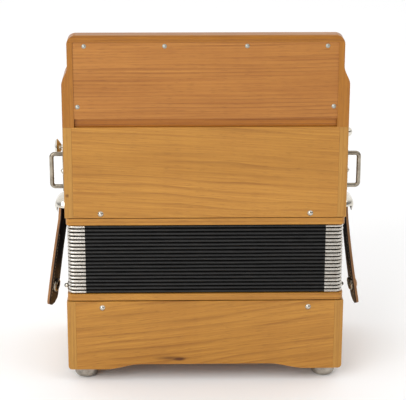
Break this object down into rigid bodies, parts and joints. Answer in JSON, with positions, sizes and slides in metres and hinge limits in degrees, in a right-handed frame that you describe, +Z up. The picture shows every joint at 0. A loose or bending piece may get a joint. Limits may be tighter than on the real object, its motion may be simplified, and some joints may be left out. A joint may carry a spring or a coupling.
{
  "type": "button accordion",
  "caption": "Small diatonic button accordion in honey-coloured wood, standing on its bass end with the black bellows closed and the side straps open.",
  "frame": {"origin": "On the floor, under the middle of the instrument as it stands on its four feet.", "axes": "+Z up, along the way the bellows open; +X along the keyboard, to the right as the player's side is seen; +Y from the player's side to the grille side."},
  "size_m": [0.3298, 0.1632, 0.368],
  "materials": {
    "cherry": "satin clear lacquer over honey-coloured cherry, fine grain",
    "cherry_dark": "satin clear lacquer over a slightly darker cherry board",
    "spruce": "bare planed spruce",
    "nickel": "polished nickel plate with light tarnish",
    "corner_metal": "bright nickel-plated sheet",
    "reed_plate": "brushed sheet with steel tongues",
    "steel": "drawn wire",
    "pearl": "pearl-white polished button on a metal lever",
    "bellows_cloth": "black textured bellows cloth",
    "grille_cloth": "dark fine-woven cloth",
    "leather": "dark brown smooth side, tan cut edges"
  },
  "bodies": {
    "bass": {"bass_rear_board": "cherry", "bass_front_board": "cherry", "bass_side_boards": "cherry", "bass_corner_posts": "spruce", "bass_end_plate": "cherry_dark", "bass_action_board": "spruce", "bass_reed_block": "spruce", "bass_reed_plates": "reed_plate", "bass_lever_axles": "steel", "hand_strap": "leather", "hand_strap_anchors": "nickel", "feet": "nickel", "bass_bellows_frame": "cherry", "bass_pins": "nickel", "mate_studs": "nickel", "bellows": "bellows_cloth", "bellows_corners": "corner_metal"},
    "treble": {"treble_rear_board": "cherry", "treble_front_board": "cherry", "treble_side_boards": "cherry", "keyboard_cheeks": "cherry", "keyboard_top_rail": "cherry", "keyboard_base_rail": "cherry_dark", "keyboard_rear_cover": "cherry_dark", "cover_screws": "nickel", "button_board": "cherry", "treble_action_board": "spruce", "treble_reed_block": "spruce", "treble_reed_plates": "reed_plate", "treble_lever_axle": "steel", "treble_key_springs": "steel", "grille": "cherry", "grille_front_rail": "cherry", "grille_cloth": "grille_cloth", "treble_bellows_frame": "cherry", "treble_pins": "nickel", "strap_loops": "nickel", "loop_screws": "nickel", "strap_holders": "nickel", "side_studs": "nickel"},
    "treble_key_1_body": {"treble_key_1": "pearl"},
    "treble_key_2_body": {"treble_key_2": "pearl"},
    "treble_key_3_body": {"treble_key_3": "pearl"},
    "treble_key_4_body": {"treble_key_4": "pearl"},
    "treble_key_5_body": {"treble_key_5": "pearl"},
    "treble_key_6_body": {"treble_key_6": "pearl"},
    "treble_key_7_body": {"treble_key_7": "pearl"},
    "treble_key_8_body": {"treble_key_8": "pearl"},
    "treble_key_9_body": {"treble_key_9": "pearl"},
    "treble_key_10_body": {"treble_key_10": "pearl"},
    "bass_key_1_body": {"bass_key_1": "pearl"},
    "bass_key_2_body": {"bass_key_2": "pearl"},
    "bass_key_3_body": {"bass_key_3": "pearl"},
    "bass_key_4_body": {"bass_key_4": "pearl"},
    "air_key_body": {"air_key": "pearl"},
    "bellows_strap_left_body": {"bellows_strap_left": "leather"},
    "bellows_strap_right_body": {"bellows_strap_right": "leather"}
  },
  "joints": [
    {"name": "bellows_pull", "type": "slide", "parent": "bass", "child": "treble", "axis": [0, 0, 1], "range_m": [0, 0.28], "deforming": ["bellows", "bellows_corners"]},
    {"name": "treble_key_1_press", "type": "hinge", "parent": "treble", "child": "treble_key_1_body", "pos_m": [-0.09, -0.01693, 0.28473], "axis": [1, 0, 0], "range_deg": [0, 3.5], "stiffness_Nm_per_rad": 0.12, "springref_deg": -28.65},
    {"name": "treble_key_2_press", "type": "hinge", "parent": "treble", "child": "treble_key_2_body", "pos_m": [-0.07, -0.01693, 0.28473], "axis": [1, 0, 0], "range_deg": [0, 3.5], "stiffness_Nm_per_rad": 0.12, "springref_deg": -28.65},
    {"name": "treble_key_3_press", "type": "hinge", "parent": "treble", "child": "treble_key_3_body", "pos_m": [-0.05, -0.01693, 0.28473], "axis": [1, 0, 0], "range_deg": [0, 3.5], "stiffness_Nm_per_rad": 0.12, "springref_deg": -28.65},
    {"name": "treble_key_4_press", "type": "hinge", "parent": "treble", "child": "treble_key_4_body", "pos_m": [-0.03, -0.01693, 0.28473], "axis": [1, 0, 0], "range_deg": [0, 3.5], "stiffness_Nm_per_rad": 0.12, "springref_deg": -28.65},
    {"name": "treble_key_5_press", "type": "hinge", "parent": "treble", "child": "treble_key_5_body", "pos_m": [-0.01, -0.01693, 0.28473], "axis": [1, 0, 0], "range_deg": [0, 3.5], "stiffness_Nm_per_rad": 0.12, "springref_deg": -28.65},
    {"name": "treble_key_6_press", "type": "hinge", "parent": "treble", "child": "treble_key_6_body", "pos_m": [0.01, -0.01693, 0.28473], "axis": [1, 0, 0], "range_deg": [0, 3.5], "stiffness_Nm_per_rad": 0.12, "springref_deg": -28.65},
    {"name": "treble_key_7_press", "type": "hinge", "parent": "treble", "child": "treble_key_7_body", "pos_m": [0.03, -0.01693, 0.28473], "axis": [1, 0, 0], "range_deg": [0, 3.5], "stiffness_Nm_per_rad": 0.12, "springref_deg": -28.65},
    {"name": "treble_key_8_press", "type": "hinge", "parent": "treble", "child": "treble_key_8_body", "pos_m": [0.05, -0.01693, 0.28473], "axis": [1, 0, 0], "range_deg": [0, 3.5], "stiffness_Nm_per_rad": 0.12, "springref_deg": -28.65},
    {"name": "treble_key_9_press", "type": "hinge", "parent": "treble", "child": "treble_key_9_body", "pos_m": [0.07, -0.01693, 0.28473], "axis": [1, 0, 0], "range_deg": [0, 3.5], "stiffness_Nm_per_rad": 0.12, "springref_deg": -28.65},
    {"name": "treble_key_10_press", "type": "hinge", "parent": "treble", "child": "treble_key_10_body", "pos_m": [0.09, -0.01693, 0.28473], "axis": [1, 0, 0], "range_deg": [0, 3.5], "stiffness_Nm_per_rad": 0.12, "springref_deg": -28.65},
    {"name": "bass_key_1_press", "type": "hinge", "parent": "bass", "child": "bass_key_1_body", "pos_m": [-0.03, 0.014, 0.046], "axis": [1, 0, 0], "range_deg": [0, 4], "stiffness_Nm_per_rad": 0.1, "springref_deg": -28.65},
    {"name": "bass_key_2_press", "type": "hinge", "parent": "bass", "child": "bass_key_2_body", "pos_m": [-0.01, 0.014, 0.046], "axis": [1, 0, 0], "range_deg": [0, 4], "stiffness_Nm_per_rad": 0.1, "springref_deg": -28.65},
    {"name": "bass_key_3_press", "type": "hinge", "parent": "bass", "child": "bass_key_3_body", "pos_m": [0.01, 0.014, 0.046], "axis": [1, 0, 0], "range_deg": [0, 4], "stiffness_Nm_per_rad": 0.1, "springref_deg": -28.65},
    {"name": "bass_key_4_press", "type": "hinge", "parent": "bass", "child": "bass_key_4_body", "pos_m": [0.03, 0.014, 0.046], "axis": [1, 0, 0], "range_deg": [0, 4], "stiffness_Nm_per_rad": 0.1, "springref_deg": -28.65},
    {"name": "air_key_press", "type": "hinge", "parent": "bass", "child": "air_key_body", "pos_m": [-0.08, -0.02, 0.046], "axis": [-1, 0, 0], "range_deg": [0, 4], "stiffness_Nm_per_rad": 0.1, "springref_deg": -28.65},
    {"name": "bellows_strap_left_swing", "type": "hinge", "parent": "treble", "child": "bellows_strap_left_body", "pos_m": [-0.148, -0.026, 0.165], "axis": [0, 1, 0], "range_deg": [-5.5, 70], "stiffness_Nm_per_rad": 0.03},
    {"name": "bellows_strap_right_swing", "type": "hinge", "parent": "treble", "child": "bellows_strap_right_body", "pos_m": [0.148, -0.026, 0.165], "axis": [0, -1, 0], "range_deg": [-5.5, 70], "stiffness_Nm_per_rad": 0.03}
  ]
}
